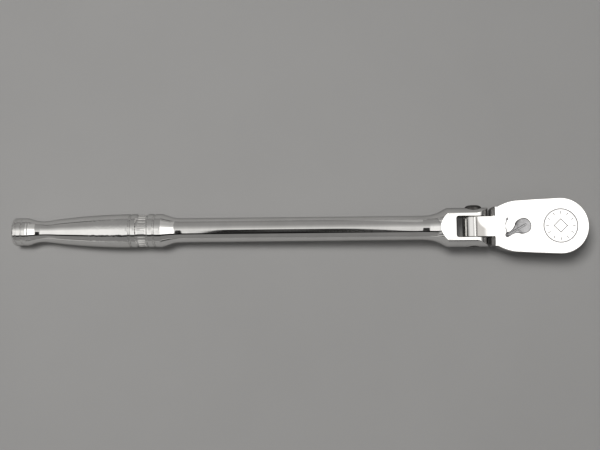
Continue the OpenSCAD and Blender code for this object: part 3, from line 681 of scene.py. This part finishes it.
disc = [(0, ZHI - 0.35), (3.76, ZHI - 0.35), (3.86, ZHI - 0.25), (3.86, ZHI + 0.85)]
disc += [(3.46 + 0.40 * math.cos(math.radians(90 * k / 5)), ZHI + 0.85 + 0.40 * math.sin(math.radians(90 * k / 5))) for k in range(1, 6)]
disc += [(2.4, ZHI + 1.30), (1.2, ZHI + 1.33), (0, ZHI + 1.34)]
lever = turned("lever_top", disc, "Z", (XL, 0, 0), 96)
arm = hermite([(0, 3.2), (2.6, 2.75), (3.9, 1.95), (5.2, 1.3), (6.6, 1.06), (8.0, 1.06)], 5)
o2 = [(x, -y) for x, y in arm] + arc(9.95 - 1.22, 0, 1.22, -66, 66, 14) + [(x, y) for x, y in arm[::-1]]
o2 = anticlockwise(o2)
place = Matrix.Translation((XL * MM, 0, 0)) @ Matrix.Rotation(math.radians(210), 4, "Z")
a_ = moved(prism("a", o2, ZHI + 0.12, ZHI + 1.22, 0.35, 4, 0.08), place)
combine(lever, a_, "UNION")
rg = anticlockwise(arc(8.15, 0, 0.5, -90, 90, 8) + arc(-1.1, 0, 0.5, 90, 270, 8))
r_ = moved(prism("r", rg, ZHI + 1.0, ZHI + 2.0, 0.3, 4), place)
combine(lever, r_, "UNION")
b_ = turned("b", [(0, ZHI + 1.1), (0.82, ZHI + 1.1), (0.82, ZHI + 1.55)] + [(0.82 * math.cos(math.radians(15 * k)), ZHI + 1.55 + 0.33 * math.sin(math.radians(15 * k))) for k in range(1, 6)] + [(0, ZHI + 1.88)], "Z", (8.72, 0, 0), 32)
combine(lever, moved(b_, place), "UNION")
stem = turned("s", [(0, 9.2), (3.0, 9.2), (3.0, ZHI - 0.2), (0, ZHI - 0.2)], "Z", (XL, 0, 0), 64)
combine(lever, stem, "UNION")
sqs = moved(box(-1.6, 1.6, -1.6, 1.6, 4.6, 10.0), Matrix.Translation((XL * MM, 0, 0)) @ Matrix.Rotation(math.radians(30), 4, "Z"))
combine(lever, sqs, "UNION")
pin = turned("p", [(0, 3.3), (1.5, 3.3), (1.5, 4.08), (1.15, 4.08), (1.15, 4.58), (1.5, 4.58), (1.5, 5.2), (0, 5.2)], "Z", (XL, 0, 0), 48)
combine(lever, pin, "UNION")
finish_mesh(lever, SATIN, sharp=38)
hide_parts("reverse_lever"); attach(lever, "lever")

# ------------------------------------------------------------------ floor

# The wrench lies on the tip of its drive and the underside of its knob, so the
# floor is tilted in the part's frame.
tip = Vector((-0.0047, 0, -0.0107))
knob = Vector((-0.2765, 0, 0.0066 - 0.0071))
run = knob - tip
TILT = math.atan2(run.z, -run.x)         # the floor rises towards the knob
up = Vector((math.sin(TILT), 0, math.cos(TILT)))
ex = Vector((math.cos(TILT), 0, -math.sin(TILT)))
ey = Vector((0, 1, 0))

def table(u, v, h):
    """A point given by its place on the floor: u along the handle from the drive, v across, h above."""
    return tip + ex * u + ey * v + up * h

me = D.meshes.new("floor")
me.from_pydata([table(x, y, 0) for x, y in ((-6, -6), (6, -6), (6, 6), (-6, 6))], [], [(0, 1, 2, 3)])
floor = D.objects.new("floor", me)
S.collection.objects.link(floor)
fm = D.materials.new("floor")
t = nt(fm)
o = add(t, "ShaderNodeOutputMaterial"); b = add(t, "ShaderNodeBsdfPrincipled")
oc = add(t, "ShaderNodeTexCoord").outputs["Object"]
n = noise(t, oc, 9.0, 4.0)
g = noise(t, oc, 1400.0, 3.0)
t.links.new(ramp(t, [(0.3, (0.488, 0.484, 0.479)), (0.7, (0.518, 0.514, 0.508))], math_(t, "MULTIPLY_ADD", g, 0.25, math_(t, "MULTIPLY", n, 0.75))), b.inputs["Base Color"])
b.inputs["Roughness"].default_value = 0.9
# seen from below the floor is clear, so that the underside of the part can be looked at
clear = add(t, "ShaderNodeBsdfTransparent")
pick = add(t, "ShaderNodeMixShader")
t.links.new(add(t, "ShaderNodeNewGeometry").outputs["Backfacing"], pick.inputs["Fac"])
t.links.new(b.outputs["BSDF"], pick.inputs[1]); t.links.new(clear.outputs["BSDF"], pick.inputs[2])
t.links.new(pick.outputs["Shader"], o.inputs["Surface"])
me.materials.append(fm)

# ------------------------------------------------------------------ camera

cam_d = D.cameras.new("camera")
cam_d.lens, cam_d.sensor_width = 57.6, 36.0
cam_d.clip_start, cam_d.clip_end = 0.01, 50
cam = D.objects.new("camera", cam_d)
S.collection.objects.link(cam)
S.camera = cam
ELEV = math.radians(84.8)
DIST = 0.503
HEAD = math.radians(0.41)
cx, cy = -0.1311, 0.0033                 # the picture's centre on the floor, from the drive's axis
look = table(cx + 0.0047, cy, 0)
right = ex * math.cos(-HEAD) + ey * math.sin(-HEAD)
fwd_flat = -ex * math.sin(-HEAD) + ey * math.cos(-HEAD)
view_dir = (fwd_flat * math.cos(ELEV) - up * math.sin(ELEV)).normalized()
up_img = right.cross(view_dir).normalized()
cam.matrix_world = Matrix.Translation(look - view_dir * DIST) @ Matrix((right, up_img, -view_dir)).transposed().to_4x4()

# ------------------------------------------------------------------ light

# A big soft window from the +Y side throws the soft shadow; the chrome doesn't see it.
ld = D.lights.new("window", "AREA")
ld.shape, ld.size, ld.size_y, ld.energy = "RECTANGLE", 0.34, 0.34, 7.3
ld.color = (1.0, 0.99, 0.975)
lo = D.objects.new("window", ld)
S.collection.objects.link(lo)
src = table(-0.38, 0.19, 1.18)
aim = table(-0.12, 0, 0)
lo.matrix_world = Matrix.Translation(src) @ (aim - src).to_track_quat("-Z", "Y").to_matrix().to_4x4()
lo.visible_glossy = False
lo.visible_camera = False

# The room the chrome reflects: a white panel just past overhead, a dark gap beside it,
# walls that fade to grey. a turns about the handle and b along it, in degrees.
w = D.worlds.new("studio")
S.world = w
w.use_nodes = True
t = w.node_tree
t.nodes.clear()
out = add(t, "ShaderNodeOutputWorld")
sep = add(t, "ShaderNodeSeparateXYZ")
t.links.new(add(t, "ShaderNodeTexCoord").outputs["Generated"], sep.inputs["Vector"])
X, Y, Z = (sep.outputs[k] for k in "XYZ")
DEG = 180 / math.pi
a = math_(t, "MULTIPLY", math_(t, "ARCTAN2", Y, Z), DEG)
b = math_(t, "MULTIPLY", math_(t, "ARCTAN2", X, Z), DEG)
# g is 1 opposite the middle of the handle, where a dark shape stands beside the panel
g = math_(t, "MULTIPLY", remap(t, b, -9.5, -6.5, smooth=True), math_(t, "SUBTRACT", 1.0, remap(t, b, 0.5, 6.0, smooth=True)))
a_lo = -43.0
a_up = math_(t, "MULTIPLY_ADD", g, 26.5, -32.0)
edge = remap(t, a, math_(t, "SUBTRACT", a_up, 0.8), math_(t, "ADD", a_up, 0.8), smooth=True)
level = math_(t, "ADD", math_(t, "ADD", 0.70, remap(t, b, 5.5, 8.0, 0.0, 1.0, smooth=True)), remap(t, b, -9.0, -12.0, 0.0, 0.25, smooth=True))
white = math_(t, "SUBTRACT", 1.0, remap(t, a, 4.0, 48.0))
white = math_(t, "MULTIPLY", white, white)
white = math_(t, "MAXIMUM", white, math_(t, "MULTIPLY", remap(t, b, 6.5, 8.5), math_(t, "SUBTRACT", 1.0, remap(t, a, 20.0, 26.0, smooth=True))))
lit = ramp(t, [(0.0, 0.29), (60 / 180, 0.27), (90 / 180, 0.20), (110 / 180, 0.10), (1.0, 0.08)], math_(t, "DIVIDE", a, 180.0))
lit = math_(t, "MULTIPLY", lit, remap(t, b, 7.0, 10.0, 1.0, 1.6, smooth=True))
# faint streaks across the dark shape
sv = add(t, "ShaderNodeCombineXYZ")
t.links.new(math_(t, "MULTIPLY", b, 0.10), sv.inputs["X"]); t.links.new(math_(t, "MULTIPLY", a, 0.42), sv.inputs["Y"])
streak = math_(t, "MULTIPLY", remap(t, noise(t, sv.outputs["Vector"], 1.0, 2.0, 0.5), 0.52, 0.68), remap(t, b, -6.0, 3.0, 0.05, 0.40))
streak = math_(t, "MULTIPLY", streak, remap(t, a, -36.0, -31.0))
low = remap(t, a, a_lo - 2.5, a_lo, 0.21, 0.008, smooth=True)
low = math_(t, "ADD", low, math_(t, "MULTIPLY", streak, remap(t, a, a_lo - 0.5, a_lo)))
side = remap(t, math_(t, "ABSOLUTE", b), 42.0, 64.0, 1.0, 0.0, smooth=True)
base_v = add(t, "ShaderNodeMix", data_type="FLOAT")
t.links.new(edge, base_v.inputs[0]); t.links.new(low, base_v.inputs[2]); t.links.new(lit, base_v.inputs[3])
full = add(t, "ShaderNodeMix", data_type="FLOAT")
t.links.new(math_(t, "MULTIPLY", white, edge), full.inputs[0]); t.links.new(base_v.outputs[0], full.inputs[2]); t.links.new(level, full.inputs[3])
ends = add(t, "ShaderNodeMix", data_type="FLOAT")
t.links.new(side, ends.inputs[0]); # beyond the panel's ends the room is a mix of dark and light shapes
rv = add(t, "ShaderNodeCombineXYZ")
t.links.new(math_(t, "MULTIPLY", b, 0.085), rv.inputs["X"]); t.links.new(math_(t, "MULTIPLY", a, 0.03), rv.inputs["Y"])
room = remap(t, noise(t, rv.outputs["Vector"], 1.0, 3.0, 0.6), 0.40, 0.60, 0.03, 0.62)
t.links.new(math_(t, "MULTIPLY", room, remap(t, b, 58.0, 70.0, 1.0, 0.30, smooth=True)), ends.inputs[2]); t.links.new(full.outputs[0], ends.inputs[3])
tint = add(t, "ShaderNodeCombineColor")
for k, c in (("Red", 1.0), ("Green", 0.985), ("Blue", 0.96)):
    t.links.new(math_(t, "MULTIPLY", ends.outputs[0], c), tint.inputs[k])
bg = add(t, "ShaderNodeBackground")
t.links.new(tint.outputs["Color"], bg.inputs["Color"])
amb = add(t, "ShaderNodeBackground")
amb.inputs["Color"].default_value = (0.98, 0.99, 1.0, 1)
amb.inputs["Strength"].default_value = 0.085
mixs = add(t, "ShaderNodeMixShader")
t.links.new(add(t, "ShaderNodeLightPath").outputs["Is Diffuse Ray"], mixs.inputs["Fac"])
t.links.new(bg.outputs["Background"], mixs.inputs[1])
t.links.new(amb.outputs["Background"], mixs.inputs[2])
t.links.new(mixs.outputs["Shader"], out.inputs["Surface"])

S.view_settings.view_transform = "Standard"
